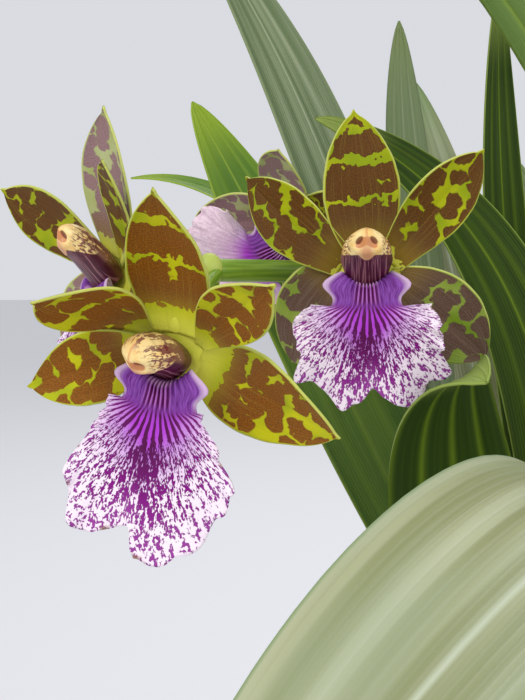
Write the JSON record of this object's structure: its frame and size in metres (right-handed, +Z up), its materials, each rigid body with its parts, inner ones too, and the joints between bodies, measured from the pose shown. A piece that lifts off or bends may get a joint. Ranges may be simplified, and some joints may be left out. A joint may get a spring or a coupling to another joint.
{
  "type": "zygopetalum orchid in a pot",
  "caption": "Potted orchid with ribbed bulbs, strap leaves and an arching spray of mottled blooms with broad veined lips.",
  "frame": {"origin": "centre of the pot's flat foot, on the surface it stands on", "axes": "+Z up along the pot's axis, -Y towards the side that the front bloom faces, +X to the right seen from there"},
  "size_m": [0.447, 0.3592, 0.4956],
  "materials": {
    "clay": "matt fired clay",
    "bark": "rough bark chips",
    "bulb": "satin green skin with dry papery bands",
    "leaf": "satin leaf with fine lengthwise veins",
    "stalk": "satin green stem",
    "tepal": "satin lime green with brown blotches",
    "lip": "velvety white with violet veins and specks",
    "column": "waxy cream cap over a maroon striped column"
  },
  "bodies": {
    "root": {"pot": "clay", "bark": "bark", "bulb_front": "bulb", "bulb_right": "bulb", "bulb_back": "bulb", "bulb_left": "bulb", "bulb_side": "bulb", "young_shoot": "bulb", "leaf_left_long": "leaf", "leaf_right_tall": "leaf", "leaf_right_arch": "leaf", "leaf_back_grey": "leaf", "leaf_back_straight": "leaf", "leaf_front_arch": "leaf", "leaf_front_curl": "leaf", "leaf_near": "leaf", "leaf_far_pale": "leaf", "leaf_far_arch": "leaf", "leaf_far_right": "leaf", "leaf_low_left": "leaf", "leaf_low_front": "leaf", "leaf_top_right": "leaf", "leaf_side_arch": "leaf", "leaf_side_front": "leaf", "spray_stalk": "stalk", "bloom_right_tepals": "tepal", "bloom_right_lip": "lip", "bloom_right_column": "column", "bloom_front_tepals": "tepal", "bloom_front_lip": "lip", "bloom_front_column": "column", "bloom_left_tepals": "tepal", "bloom_left_lip": "lip", "bloom_left_column": "column", "bloom_back_tepals": "tepal", "bloom_back_lip": "lip", "bloom_back_column": "column"}
  },
  "joints": []
}
